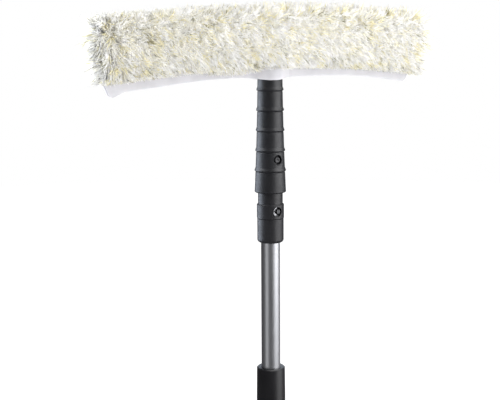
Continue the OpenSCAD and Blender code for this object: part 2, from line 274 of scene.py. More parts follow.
def plain_steel(name, dark, light, rough):
    """Spring or plated steel with a rolled grain."""
    shader = Shader(name, Metallic=1.0)
    rolled = shader.noise(1.0, 3, shader.stretched(2400, 2400, 120))
    shader.set("Base Color", shader.mix(shader.ranged(rolled, 0.35, 0.65, 0, 1), dark, light))
    patches = shader.noise(300, 3)
    shader.set("Roughness", shader.ranged(patches, 0.3, 0.7, rough - 0.06, rough + 0.08))
    shader.bump(rolled, 0.01 * MM)
    return shader.material


def grip_rubber(name):
    """Matt soft rubber with a fine diamond texture."""
    shader = Shader(name, Specular_IOR_Level=0.35)
    dark, light = (0.012, 0.012, 0.013), (0.022, 0.022, 0.024)
    shader.set("Base Color", shader.mix(shader.noise(60, 4), dark, light))
    shader.set("Roughness", shader.ranged(shader.noise(220, 4), 0.3, 0.7, 0.58, 0.72))
    rising = shader.wave(180, "DIAGONAL")
    falling = shader.wave(180, "DIAGONAL", vector=shader.stretched(-1, -1, 1))
    shader.bump(shader.maths("MAXIMUM", rising, falling), 0.12 * MM, 0.6)
    return shader.material


def woven_tape(name, shade, light, weave=900):
    """White tape: a fine plain weave with a soft sheen."""
    shader = Shader(name, Sheen_Weight=0.25, Sheen_Roughness=0.5, Specular_IOR_Level=0.25)
    along = shader.wave(weave / 2, "X", 0.4)
    across = shader.wave(weave / 2, "Z", 0.4)
    weft = shader.maths("MULTIPLY", along, across)
    cloud = shader.ranged(shader.noise(70, 3), 0.35, 0.65, 0, 1)
    body = shader.mix(cloud, shade, light)
    gaps = shader.ranged(weft, 0, 1, 0.12, 0)
    shader.set("Base Color", shader.mix(gaps, body, (0.5, 0.5, 0.55)))
    shader.set("Roughness", shader.ranged(shader.noise(400, 3), 0.3, 0.7, 0.78, 0.92))
    shader.bump(weft, 0.08 * MM, 0.5)
    return shader.material


def knitted_backing(name):
    """The cloth that the pile is knitted into."""
    shader = Shader(name, Specular_IOR_Level=0.2)
    loops = shader.maths("MULTIPLY", shader.wave(260, "X", 1.5), shader.wave(200, "Z", 1.5))
    shader.set("Base Color", shader.mix(loops, (0.90, 0.89, 0.84), (0.96, 0.95, 0.90)))
    shader.set("Roughness", shader.ranged(shader.noise(200, 3), 0.3, 0.7, 0.85, 0.95))
    shader.bump(loops, 0.3 * MM, 0.8)
    return shader.material


def pile_yarn(name):
    """Acrylic pile: each strand has its own tint, and some tints carry painted shade. The colour is
    darker towards the roots, as painted shade deep in the pile. The faint glow at the roots stands
    for the light that the translucent fibres pass down into the pile."""
    shader = Shader(
        name, Sheen_Weight=0.1, Sheen_Roughness=0.4, Specular_IOR_Level=0.25,
        Emission_Color=(1, 0.97, 0.86, 1),
    )
    tint = shader.attribute("tint", "Color")
    along = shader.attribute("along", "Fac")
    fibre = shader.ranged(shader.noise(900, 3), 0.3, 0.7, 0.98, 1.0)
    # Painted shade: the colour darkens towards each strand's root, deep in the pile
    depth = shader.ranged(along, 0.0, 0.4, 0.70, 1.0)
    shade = shader.maths("MULTIPLY", depth, fibre)
    grey = shader.node("ShaderNodeCombineColor")
    for socket in grey.inputs[:3]:
        shader.join(shade, socket)
    shader.set("Base Color", shader.mix(1.0, tint, grey.outputs[0], "MULTIPLY"))
    shader.set("Roughness", shader.ranged(shader.noise(500, 2), 0.3, 0.7, 0.55, 0.75))
    shader.set("Emission Strength", shader.attribute("glow", "Fac"))
    return shader.material


# ---- Camera, light and floor ----

# The camera's place round the pole, its pitch, how far it turns off the pole, and its roll
CAMERA_AZIMUTH = math.radians(33.71)
CAMERA_PITCH = math.radians(9.06)
CAMERA_TURN = math.radians(1.109)
CAMERA_ROLL = math.radians(-0.375)
CAMERA_DISTANCE = 1.0443
CAMERA_ABOVE_BINDING = 0.0448
CAMERA_LENS = 76.7
SENSOR = 36.0
# White pile passes light on many times before it leaves
PILE_BOUNCES = 16

# The white room: what lights the object, what its surfaces mirror, and what the camera sees
SOFT_LIGHT = (0.44, 0.44, 0.44)
MIRRORED_ROOM = (0.10, 0.10, 0.105)
BACKDROP = (1, 1, 1)

WARM, COOL, WHITE = (0.99, 0.988, 1.0), (0.79, 0.87, 1.0), (1.0, 1.0, 1.0)
# Each lamp's name, degrees round the pole from the camera, distance and height, the height that it
# faces, its width, height, brightness and colour, and the group that it lights, or None for all
LAMPS = (
    ("key", 74, 1.1, 1.11, 1.11, 1.31, 1.34, 3.45, WARM, None),
    ("overhead", 90, 0.7, 2.1, 1.0, 1.2, 1.2, 1.8, WHITE, None),
    ("rim_left", -105, 1.6, 1.1, 1.1, 1.6, 1.8, 4.8, COOL, "handle and sleeve"),
    ("end_left", -55, 1.3, 1.2, 1.0, 1.0, 1.0, 4.6, WHITE, "sleeve"),
    ("window_left", -46, 1.9, 0.5, 0.5, 1.0, 1.6, 1.35, WHITE, "tubes"),
    ("window_behind", 180, 1.9, 0.5, 0.5, 0.9, 1.8, 2.4, WHITE, "tubes"),
    ("panel_front", 10, 0.5, 2.2, 0.7, 1.0, 1.0, 2.5, WHITE, "nut"),
    ("panel_left", -80, 1.3, 2.0, 0.9, 1.0, 0.7, 8.0, WHITE, "handle"),
    ("panel_right", 60, 1.2, 2.0, 0.9, 0.8, 0.6, 4.0, WHITE, "handle"),
    ("key_foot", 74, 1.1, 0.3, 0.5, 0.9, 0.5, 1.3, WHITE, "lock and foot"),
    ("wall_behind", 180, 1.2, 1.7, 0.65, 2.0, 1.6, 1.8, COOL, "lock and foot"),
)


def to_side(azimuth, distance, z):
    """A place round the pole, at an angle to the right of the camera."""
    angle = CAMERA_AZIMUTH - azimuth
    return Vector((-distance * math.sin(angle), -distance * math.cos(angle), z))


def add_camera():
    data = bpy.data.cameras.new("camera")
    data.lens = CAMERA_LENS
    data.sensor_width = SENSOR
    data.clip_end = 50
    camera = bpy.data.objects.new("camera", data)
    bpy.context.scene.collection.objects.link(camera)
    place = to_side(0, CAMERA_DISTANCE, BINDING_Z + CAMERA_ABOVE_BINDING)
    heading = CAMERA_AZIMUTH - CAMERA_TURN
    level = Matrix.Rotation(-heading, 4, "Z") @ Matrix.Rotation(math.pi / 2 - CAMERA_PITCH, 4, "X")
    camera.matrix_world = Matrix.Translation(place) @ level @ Matrix.Rotation(CAMERA_ROLL, 4, "Z")
    bpy.context.scene.camera = camera


def add_world():
    """White behind the object, soft light on it, and a dark room in its reflections."""
    world = bpy.data.worlds.new("studio")
    bpy.context.scene.world = world
    world.use_nodes = True
    tree = world.node_tree
    tree.nodes.clear()
    path = tree.nodes.new("ShaderNodeLightPath")
    output = tree.nodes.new("ShaderNodeOutputWorld")

    def background(colour):
        made = tree.nodes.new("ShaderNodeBackground")
        made.inputs["Color"].default_value = (*colour, 1)
        return made.outputs[0]

    def choose(ray, otherwise, chosen):
        made = tree.nodes.new("ShaderNodeMixShader")
        tree.links.new(path.outputs[ray], made.inputs[0])
        tree.links.new(otherwise, made.inputs[1])
        tree.links.new(chosen, made.inputs[2])
        return made.outputs[0]

    on_object = choose("Is Glossy Ray", background(SOFT_LIGHT), background(MIRRORED_ROOM))
    shown = choose("Is Camera Ray", on_object, background(BACKDROP))
    tree.links.new(shown, output.inputs["Surface"])


def add_softbox(name, place, target, width, height, radiance, colour, things):
    """A rectangular lamp that lights only the things given, or everything when there are none.
    Its power follows from its brightness and its size."""
    data = bpy.data.lights.new(name, "AREA")
    data.shape = "RECTANGLE"
    data.size, data.size_y = width, height
    data.energy = radiance * math.pi * width * height
    data.color = colour
    lamp = bpy.data.objects.new(name, data)
    bpy.context.scene.collection.objects.link(lamp)
    lamp.location = place
    lamp.rotation_euler = (target - place).to_track_quat("-Z", "Y").to_euler()
    lamp.visible_camera = False
    if things:
        linked = bpy.data.collections.new(name + "_linked")
        for thing in things:
            linked.objects.link(thing)
        lamp.light_linking.receiver_collection = linked


def add_lights(sleeve):
    """A key on the right and an overhead light for everything. The others stand for what single
    parts catch or mirror: a cool rim on the handle and sleeve, a lamp on the sleeve's left end,
    windows in the tubes, panels over the handle and the nut, and for the lock and foot a low key
    and a wall behind."""
    nut = [NODES["lock_nut"]]
    handle = [NODES[name] for name in ("handle_grip", "adapter", "latch_button", "tube_button")]
    groups = {
        None: [],
        "sleeve": sleeve,
        "handle": handle,
        "handle and sleeve": handle + sleeve,
        "tubes": [NODES[name] for name in ("inner_tube", "outer_tube")],
        "nut": nut,
        "lock and foot": nut + [NODES[name] for name in ("lock_body", "lower_grip", "end_cap")],
    }
    for name, azimuth, distance, z, aim_z, width, height, radiance, colour, group in LAMPS:
        place = to_side(math.radians(azimuth), distance, z)
        target = Vector((0, 0, aim_z))
        add_softbox(name, place, target, width, height, radiance, colour, groups[group])


def add_floor():
    """A pale round floor. It glows a little, so that it runs into the white behind it."""
    shader = Shader(
        "pale_floor", Roughness=0.9, Specular_IOR_Level=0.0,
        Emission_Color=(1, 1, 1, 1), Emission_Strength=0.75,
    )
    clouds = shader.noise(1.2, 2)
    shader.set("Base Color", shader.mix(clouds, (0.80, 0.80, 0.81), (0.84, 0.84, 0.84)))
    sides, radius = 96, 6.0
    turn = np.arange(sides) * 2 * math.pi / sides
    rim = np.stack([radius * np.cos(turn), radius * np.sin(turn), np.zeros(sides)], -1)
    mesh = bpy.data.meshes.new("floor")
    mesh.from_pydata(rim.tolist(), [], [list(range(sides))])
    mesh.materials.append(shader.material)
    floor = bpy.data.objects.new("floor", mesh)
    bpy.context.scene.collection.objects.link(floor)
    floor.visible_glossy = False


# ---- Washer sleeve: a cloth tube stretched over the T-bar ----

# The cloth's section is a rounded box, open along its foot
SIDE_HALF = 12.8 * MM
CLOTH_LOW = 10.5 * MM
CLOTH_TOP = 61 * MM
SECTION_POWER = 4
FOOT_GAP = 3 * MM
# Round the handle the foot opens wider, and the sides bulge with it
NECK_GAP = 13 * MM
NECK_BULGE = 1.6 * MM
NECK_BULGE_REACH = 32 * MM
# Its ends are round, lower at the top, and drawn together at the seam
STRAIGHT_HALF = 162 * MM
END_DEPTH = 12.5 * MM
END_DROP = 2 * MM
SEAM_SHARE = 0.03
CLOTH_HALF = STRAIGHT_HALF + END_DEPTH * math.pi / 2


def cloth_point(q, w):
    """The sleeve's cloth. q runs along the washer, round its closed ends, and w from the
    front foot at 0, over the top at 0.5, to the back foot at 1."""
    q, w = np.broadcast_arrays(np.asarray(q, float), np.asarray(w, float))
    side = np.sign(q)
    past = np.clip(np.abs(q) - STRAIGHT_HALF, 0, END_DEPTH * math.pi / 2) / END_DEPTH
    s = side * (np.minimum(np.abs(q), STRAIGHT_HALF) + END_DEPTH * np.sin(past))
    neck = np.sqrt(np.maximum(NECK_GAP**2 - s**2, 0))
    side_half = SIDE_HALF + NECK_BULGE * hill(s, 0, NECK_BULGE_REACH)
    half = side_half * np.maximum(np.cos(past), SEAM_SHARE)
    top = CLOTH_TOP - END_DROP * np.sin(past) ** 4
    middle, reach = (top + CLOTH_LOW) / 2, (top - CLOTH_LOW) / 2
    first = np.arcsin((FOOT_GAP / side_half) ** (SECTION_POWER / 2))
    angle = first + w * 2 * (math.pi - first)
    power = 2 / SECTION_POWER
    out = half * np.abs(np.sin(angle)) ** power
    round_neck = np.sqrt(neck**2 + out**2 * (1 - (neck / side_half) ** 2))
    y = -np.sign(np.sin(angle)) * np.where(np.cos(angle) > 0, round_neck, out)
    h = middle - reach * np.sign(np.cos(angle)) * np.abs(np.cos(angle)) ** power
    return on_arch(s, y, h)


def even_section(count):
    """Values of w that are evenly spaced round the sleeve's section, and the path's length."""
    fine = np.linspace(0, 1, 2001)
    path = cloth_point(STRAIGHT_HALF / 2, fine)
    run = np.concatenate([[0], np.cumsum(np.linalg.norm(np.diff(path, axis=0), axis=1))])
    return np.interp(np.linspace(0, run[-1], count), run, fine), run[-1]


def cloth_normal(q, w):
    """The cloth's outward direction."""
    step_q, step_w = 0.5 * MM, 0.002
    q = np.clip(q, -CLOTH_HALF + step_q, CLOTH_HALF - step_q)
    w = np.clip(w, step_w, 1 - step_w)
    along = cloth_point(q + step_q, w) - cloth_point(q - step_q, w)
    across = cloth_point(q, w + step_w) - cloth_point(q, w - step_w)
    return unit(np.cross(along, across))


def sleeve_cloth():
    """The stretched backing cloth, sewn shut along both ends, and its flat size."""
    section_points, straight_points, end_points = 61, 121, 9
    w, girth = even_section(section_points)
    q = np.concatenate([
        np.linspace(-CLOTH_HALF, -STRAIGHT_HALF, end_points)[:-1],
        np.linspace(-STRAIGHT_HALF, STRAIGHT_HALF, straight_points),
        np.linspace(STRAIGHT_HALF, CLOTH_HALF, end_points)[1:],
    ])
    points = cloth_point(q[:, None], w[None, :])
    piece = new_object(
        "sleeve_cloth", points.reshape(-1, 3).tolist(), grid_faces(len(q), len(w)),
        knitted_backing("backing_knit"), "pile_fabric", "washer_sleeve",
    )
    return piece, (girth, 2 * CLOTH_HALF)


# ---- Pile ----

SEED = 20
PILE_PIECES = ("left_end", "left", "middle_left", "middle", "middle_right", "right", "right_end")
CLUMP_PITCH = 3.2 * MM
STRANDS_PER_CLUMP = 18
STRAND_SPREAD_Q, STRAND_SPREAD_W = 1.1 * MM, 0.010
ROOT_SINK = 0.3 * MM
PILE_LENGTH = 12 * MM
CLUMP_LENGTHS, STRAND_LENGTHS = (0.85, 1.08), (0.82, 1.05)
STRAND_R = 0.44 * MM
STRAND_POINTS = 4
# A strand's thickness at some places along it
STRAND_PROFILE = ([0, 0.35, 0.75, 1], [0.9, 1.15, 0.9, 0.1])
CURL, CURL_TURN = 0.35 * MM, 4.5
# How far clumps, and the strands in them, stray in their lay and their bend
CLUMP_LAY, STRAND_LAY = 0.28, 0.15
CLUMP_BEND, STRAND_BEND = 0.14, 0.16
TUFT_LIMIT = 1.6
# Tint, and its share of the pile
TINTS = (
    ((0.992, 0.987, 0.975), 0.52),
    ((0.990, 0.972, 0.890), 0.26),
    ((0.985, 0.930, 0.660), 0.13),
    ((0.915, 0.910, 0.865), 0.09),
)
TINT_COLOURS = [colour for colour, _ in TINTS]
TINT_SHARES = [share for _, share in TINTS]
STRAY_TINT_SHARE = 0.30
BRIGHTEST = 0.992
ROOT_GLOW = 0.20
LESS_GLOW_AT_ENDS, LESS_GLOW_AT_FOOT = 0.85, 0.8

# How far the pile reaches to the front and back, and how high it is at either end
PILE_DEPTH = 33 * MM
CREST_LEFT, CREST_RIGHT = 67.5 * MM, 76.5 * MM
# The crest turns up again a little at the left end, and tufts stand above it
CREST_LIFT, CREST_LIFT_REACH = 1.5 * MM, 40 * MM
TUFT_LIFT = 1.5 * MM
# The lowest tips' height, and where they cover more of the binding
FRINGE = 8.5 * MM
FRINGE_COVER, COVER_MIDDLE, COVER_REACH = 4.5 * MM, -50 * MM, 24 * MM

# Which way it lies: down on its sides, least near the top, to the right, and off the seams
LIE_DOWN, LESS_ON_TOP = 0.9, 0.8
LIE_RIGHT = 0.25
LIE_OFF_SEAM_FRONT, LIE_OFF_SEAM_BACK = -0.8, 1.1
TIP_SAG = 0.10
CLUMP_GATHER = 0.45

# How much longer strands are round the ends, there with their tuft and at the back, on top
# towards the right, and at the right end, and their length's share beside a seam
END_LONGER, END_UNEVEN, END_BACK_LONGER = 0.22, 0.20, 0.18
TOP_RIGHT_LONGER, TOP_RIGHT_FROM, TOP_RIGHT_RISE = 0.22, 20 * MM, 60 * MM
RIGHT_END_LONGER, RIGHT_END_RISE = 0.12, 15 * MM
SEAM_LENGTH, SEAM_LENGTH_RISE = 0.5, 4 * MM

# Dark strands, painted shade in the partings of the pile: their share everywhere, more at the foot
# and in a shaded lock, how many clumps are such locks, more of them at the left, and how the dark
# strands look
DARK_SHARE, DARK_AT_FOOT, DARK_IN_SHADED_LOCK = 0.015, 0.20, 0.45
SHADED_LOCK_SHARE, LEFT_SHADED_LOCK_SHARE, LEFT_FROM = 0.04, 0.05, -0.35 * CLOTH_HALF
SHADE_TINT = (0.44, 0.42, 0.29)
DARK_THINNER = 0.75
# How far up the pile's foot reaches, and how much darker the strands' tint is made there, as painted
# shade
FOOT_REACH, FOOT_DARKER = 14 * MM, 0.05
# Painted shade on the roots beside the seams, where the pile parts: how dark beside the left seam,
# the right seam's share of that, and how wide
DARK_AT_SEAM, RIGHT_SEAM_SHARE = 0.88, 0.4
SEAM_SHADE_FROM, SEAM_SHADE_FADE = 2 * MM, 5 * MM


def clump_places(random):
    """Where the pile's clumps are rooted, as q and w."""
    even_w, girth = even_section(2001)
    count_w = round(girth / CLUMP_PITCH)
    count_q = round(2 * CLOTH_HALF / CLUMP_PITCH)
    q, w = np.meshgrid(np.arange(count_q) + 0.5, np.arange(count_w) + 0.5, indexing="ij")
    q = (q + random.uniform(-0.5, 0.5, q.shape)) / count_q
    w = (w + random.uniform(-0.5, 0.5, w.shape)) / count_w
    q = (q.ravel() * 2 - 1) * CLOTH_HALF
    return q, np.interp(w.ravel(), np.linspace(0, 1, len(even_w)), even_w)


def height_over(points):
    """How high points stand above the binding's lower edge, across the arch."""
    return np.hypot(points[..., 0], points[..., 2] - ARCH_CENTRE_Z) - ARCH_R


def at_ends(q):
    """0 along the sleeve and 1 round its closed ends."""
    return smooth_step((np.abs(q) - STRAIGHT_HALF + 8 * MM) / (16 * MM))


def pile_lay(q, w, roots):
    """Which way the pile lies: out from the cloth, a little down its sides and to the right, and
    away from the end seams."""
    normal = cloth_normal(q, w)
    on_side = 1 - np.abs(normal[:, 2])
    share = np.clip(height_over(roots) / CLOTH_TOP, 0, 1)
    seam = smooth_step((np.abs(q) - STRAIGHT_HALF) / (CLOTH_HALF - STRAIGHT_HALF))
    lay = normal.copy()
    lay[:, 2] -= on_side * (LIE_DOWN - LESS_ON_TOP * share)
    lay[:, 1] += np.where(w < 0.5, LIE_OFF_SEAM_FRONT, LIE_OFF_SEAM_BACK) * seam
    lay[:, 0] += LIE_RIGHT * on_side
    return lay


def fringe_height(s, random):
    """The height that the lowest tips keep above the binding's lower edge."""
    cover = FRINGE_COVER * hill(s, COVER_MIDDLE, COVER_REACH, 4)
    return FRINGE - cover + random.normal(0, 0.8 * MM, len(s))


def crest_height(s, random):
    """The height of the highest tips: the pile is pressed down left of the middle."""
    share = smooth_step((s + CLOTH_HALF) / (2 * CLOTH_HALF))
    left_end = CREST_LIFT * hill(s, -CLOTH_HALF, CREST_LIFT_REACH)
    crest = CREST_LEFT + (CREST_RIGHT - CREST_LEFT) * share + left_end
    return crest + random.normal(0, 1.2 * MM, len(s))


def strand_lengths(q, w, clump_length, tuft, random):
    """How long each strand is."""
    length = clump_length * random.uniform(*STRAND_LENGTHS, len(q))
    behind = np.where(w > 0.5, END_BACK_LONGER, 0)
    length *= 1 + at_ends(q) * (END_LONGER + END_UNEVEN * tuft + behind)
    upward = np.clip(cloth_normal(q, w)[:, 2], 0, 1)
    length *= 1 + TOP_RIGHT_LONGER * upward * smooth_step((q - TOP_RIGHT_FROM) / TOP_RIGHT_RISE)
    length *= 1 + RIGHT_END_LONGER * smooth_step((q - STRAIGHT_HALF) / RIGHT_END_RISE)
    from_seam = smooth_step((CLOTH_HALF - np.abs(q)) / SEAM_LENGTH_RISE)
    return length * (SEAM_LENGTH + (1 - SEAM_LENGTH) * from_seam)


def strand_paths(start, ahead, length, bend, gather, random):
    """Each strand's points: ahead, bent, gathered towards its clump and a little curled."""
    count = len(start)
    t = np.linspace(0, 1, STRAND_POINTS)[None, :, None]
    reach = length[:, None, None]
    paths = start[:, None] + ahead[:, None] * reach * t + bend[:, None] * reach * t**2
    paths += gather[:, None] * t
    curl = unit(random.normal(0, 1, (count, 3)))[:, None]
    phase = random.uniform(0, 2 * math.pi, count)[:, None, None]
    return paths + curl * CURL * (np.sin(phase + CURL_TURN * t) - np.sin(phase)) * t**0.5


def strand_tints(clump_tint, random):
    """Each strand's colour: mostly its clump's, and now and then another."""
    count = len(clump_tint)
    stray = random.random(count) < STRAY_TINT_SHARE
    chosen = np.where(stray, random.choice(len(TINTS), count, p=TINT_SHARES), clump_tint)
    tint = np.array(TINT_COLOURS)[chosen]
    return np.clip(tint * random.uniform(0.975, 1.01, (count, 1)), 0, BRIGHTEST)


def grow_pile(random):
    """Every strand's q, path, radii and tint, the glow at its root and the shade there."""
    q, w = clump_places(random)
    clumps = len(q)
    roots = cloth_point(q, w)
    lay = pile_lay(q, w, roots) + random.normal(0, CLUMP_LAY, (clumps, 3))
    clump_length = PILE_LENGTH * random.uniform(*CLUMP_LENGTHS, clumps)
    clump_tint = random.choice(len(TINTS), clumps, p=TINT_SHARES)
    clump_bend = random.normal(0, CLUMP_BEND, (clumps, 3))
    tuft = np.clip(random.normal(0, 1, clumps), -TUFT_LIMIT, TUFT_LIMIT)
    # Painted shade: some clumps are locks in shade, whose strands are more often dark, more of them
    # at the left
    in_shaded_lock = random.random(clumps) < SHADED_LOCK_SHARE + LEFT_SHADED_LOCK_SHARE * (q < LEFT_FROM)

    each = np.repeat(np.arange(clumps), STRANDS_PER_CLUMP)
    count = len(each)
    q_each = np.clip(q[each] + random.normal(0, STRAND_SPREAD_Q, count), -CLOTH_HALF, CLOTH_HALF)
    w_each = np.clip(w[each] + random.normal(0, STRAND_SPREAD_W, count), 0.0, 1.0)
    start = cloth_point(q_each, w_each) - cloth_normal(q_each, w_each) * ROOT_SINK
    ahead = unit(lay[each] + random.normal(0, STRAND_LAY, (count, 3)))
    length = strand_lengths(q_each, w_each, clump_length[each], tuft[each], random)
    bend = clump_bend[each] + random.normal(0, STRAND_BEND, (count, 3))
    bend[:, 2] -= TIP_SAG
    gather = (roots[each] - start) * CLUMP_GATHER
    paths = strand_paths(start, ahead, length, bend, gather, random)
    paths = comb_pile(paths, tuft[each], random)
    profile = np.interp(np.linspace(0, 1, STRAND_POINTS), *STRAND_PROFILE)
    radii = STRAND_R * random.uniform(0.75, 1.25, count)[:, None] * profile

    tint = strand_tints(clump_tint[each], random)
    glow = ROOT_GLOW * (1 - LESS_GLOW_AT_ENDS * at_ends(q_each)) * random.uniform(0.7, 1.15, count)
    foot = hill(height_over(start), 0, FOOT_REACH)
    # Painted shade: some strands are made dark and thin for the shadows in the pile's partings, most
    # at the foot and in shaded locks
    shade_strand_chance = DARK_SHARE + DARK_AT_FOOT * foot + DARK_IN_SHADED_LOCK * in_shaded_lock[each]
    dark = random.random(count) < shade_strand_chance
    tint[dark] *= SHADE_TINT
    radii[dark] *= DARK_THINNER
    glow[dark] = 0
    glow *= 1 - LESS_GLOW_AT_FOOT * foot
    # Painted shade: the tint is darker near the pile's foot, just over the binding
    tint *= 1 - FOOT_DARKER * foot[:, None]
    # Painted shade on the roots in the crease beside each seam, weaker at the right end
    to_seam = CLOTH_HALF - np.abs(q_each)
    shade = DARK_AT_SEAM * (1 - smooth_step((to_seam - SEAM_SHADE_FROM) / SEAM_SHADE_FADE))
    shade *= np.where(q_each < 0, 1, RIGHT_SEAM_SHARE)
    return q_each, paths, radii, tint, glow, shade


def comb_pile(paths, tuft, random):
    """Lifts the strands that would hang over the binding, presses down the ones that stand above
    the crest, and pulls in the ones that stand off too far."""
    low = fringe_height(paths[:, 0, 0], random)
    height = height_over(paths)
    drop = height[:, :1] - height
    room = np.maximum(height[:, 0] - low, 0.2 * MM)
    paths[..., 2] += drop * (1 - fit_share(drop, room))
    crest = crest_height(paths[:, 0, 0], random) + TUFT_LIFT * tuft
    rise = height_over(paths) - height[:, :1]
    room = np.maximum(crest - height[:, 0], 2 * MM)
    paths[..., 2] -= rise * (1 - fit_share(rise, room))
    limit = PILE_DEPTH * random.uniform(0.82, 1, len(paths))[:, None]
    furthest = np.abs(paths[..., 1]).max(axis=1, keepdims=True)
    paths[..., 1] *= np.where(furthest > limit, limit / furthest, 1)
    return paths


def fit_share(run, room):
    """What share of each strand's run is kept, so that its greatest value fits the room."""
    return np.minimum(room / np.maximum(run.max(axis=1), 1e-9), 1)[:, None]


def add_attributes(mesh, along, tint, glow, shade):
    """Each strand's tint, darker at a shaded root, how far along the strand a vertex is, and the
    glow left there."""
    count = len(tint)
    colour = mesh.color_attributes.new("tint", "FLOAT_COLOR", "POINT")
    rgba = np.ones((count, len(along), 4), np.float32)
    lit = 1 - shade[:, None] * np.clip(1.35 - along / 0.7, 0, 1)
    rgba[:, :, :3] = tint[:, None] * lit[:, :, None]
    colour.data.foreach_set("color", rgba.ravel())
    left = glow[:, None] * np.clip(1 - along / 0.75, 0, 1)
    for name, values in (("along", np.tile(along, count)), ("glow", left.ravel())):
        share = mesh.attributes.new(name, "FLOAT", "POINT")
        share.data.foreach_set("value", values.astype(np.float32))


def pile_pieces():
    """The pile in several lengths, so that no mesh is too large."""
    q, paths, radii, tint, glow, shade = grow_pile(np.random.default_rng(SEED))
    edges = np.linspace(-CLOTH_HALF, CLOTH_HALF, len(PILE_PIECES) + 1)
    length_of = np.clip(np.searchsorted(edges, q, side="right") - 1, 0, len(PILE_PIECES) - 1)
    yarn = pile_yarn("pile_yarn")
    made = []
    for i, name in enumerate(PILE_PIECES):
        chosen = length_of == i
        mesh, along = thread_mesh("pile_" + name, paths[chosen], radii[chosen])
        add_attributes(mesh, along, tint[chosen], glow[chosen], shade[chosen])
        made.append(add_piece("pile_" + name, mesh, yarn, "pile_fabric", "washer_sleeve"))
    return made


# ---- White bindings ----

TAPE_T = 1.5 * MM
TAPE_H = 12 * MM
TAPE_Y = 2.1 * MM
TAPE_HALF_TOP = 174.5 * MM
TAPE_HALF_LOW = 170.5 * MM
# The tape is a little longer at its left end, where it hangs, and both its corners are cut
LEFT_LONGER = 3.5 * MM
LEFT_HANG, CORNER_CUT = 3.6 * MM, 2.5 * MM
# Its lower edge's slow rises and falls, as how far down, where and how wide
TAPE_DROOPS = (
    (2.8 * MM, -4 * MM, 18 * MM),
    (0.9 * MM, -140 * MM, 42 * MM),
    (-1.5 * MM, 112 * MM, 42 * MM),
)
# The handle between the tapes, and where they start to part round it
NECK_R = 13.4 * MM
NECK_END = 20 * MM
STITCH_HEIGHT = 8.2 * MM


def neck_depth(s):
    """How far the tape stands off the middle: straight, then tangent to the handle and round it."""
    distance = math.hypot(NECK_END, TAPE_Y)
    angle = math.acos(NECK_R / distance) + math.atan2(TAPE_Y, NECK_END)
    touch_s, touch_y = NECK_R * math.cos(angle), NECK_R * math.sin(angle)
    x = np.abs(s)
    round_part = np.sqrt(np.maximum(NECK_R**2 - x**2, 0))
    slope = (touch_y - TAPE_Y) / (NECK_END - touch_s)
    straight = TAPE_Y + slope * (NECK_END - x)
    return np.where(x < touch_s, round_part, np.maximum(straight, TAPE_Y))


def tape_droop(share, s):
    """How far the tape's lower edge hangs below the plain arch. share runs from -1 to 1."""
    hang = LEFT_HANG * smooth_step((-share - 0.90) / 0.08)
    corner = CORNER_CUT * smooth_step((np.abs(share) - 0.985) / 0.015)
    lift = 0.3 * MM * np.sin(s / (23 * MM) + 1.0)
    slow = sum(down * hill(s, middle, reach) for down, middle, reach in TAPE_DROOPS)
    return slow + hang - corner + lift


def tape_wrinkle(side, s, up):
    """Soft wrinkles along the tape, and finer ones round the handle. up runs from 0 to 1."""
    soft = 0.35 * MM * np.sin(s / (6.1 * MM) + side) * np.sin(s / (17 * MM) + 2 * up)
    fine = 0.22 * MM * np.sin(s / (2.9 * MM) + 3 * up) * hill(s, 0, 32 * MM)
    return (soft + fine) * (1 - 0.4 * up)


def binding_tape(name, side, material):
    """One folded tape along the sleeve's foot, with soft wrinkles and cut corners."""
    rows, columns = 261, 9
    share = np.linspace(-1, 1, rows)[:, None]
    up = np.linspace(0, 1, columns)[None, :]
    half = TAPE_HALF_LOW + (TAPE_HALF_TOP - TAPE_HALF_LOW) * up
    s = share * (half + np.where(share < 0, LEFT_LONGER, 0))
    y = side * (neck_depth(s) + tape_wrinkle(side, s, up))
    points = on_arch(s, y, TAPE_H * up - tape_droop(share, s) * (1 - up))
    piece = new_object(
        name + "_tape", points.reshape(-1, 3).tolist(), grid_faces(rows, columns),
        material, "white_binding", name,
    )
    solid = piece.modifiers.new("thickness", "SOLIDIFY")
    solid.thickness, solid.offset = TAPE_T, 0
    rounding = piece.modifiers.new("rounding", "SUBSURF")
    rounding.levels = rounding.render_levels = 1
    return piece


def binding_stitches(name, side, material):
    """A line of lockstitch that holds the tape to the sleeve."""
    pitch, stitch, thread_r = 3.3 * MM, 2.5 * MM, 0.16 * MM
    first = TAPE_HALF_LOW - 4 * MM
    middles = np.arange(-first, first, pitch)
    t = np.linspace(-0.5, 0.5, 5)
    s = middles[:, None] + stitch * t
    proud = TAPE_T / 2 + 0.15 * MM - 0.5 * MM * (2 * t[None, :]) ** 4
    paths = on_arch(s, side * (neck_depth(s) + proud), STITCH_HEIGHT)
    mesh, _ = thread_mesh(name + "_stitches", paths, np.full(s.shape, thread_r), 5)
    return add_piece(name + "_stitches", mesh, material, "white_binding", name)


# ---- Hook-and-loop closure ----

CLOSURE_FIRST, CLOSURE_LAST = 18.5 * MM, 154.5 * MM
CLOSURE_LOW, CLOSURE_HIGH = 2 * MM, 11 * MM
# How far each half's outer face is from the middle
CLOSURE_Y = 1.15 * MM
HOOK_PITCH, HOOK_ROW, HOOK_R = 2 * MM, 1.5 * MM, 0.09 * MM
HOOK_SINK = 0.05 * MM


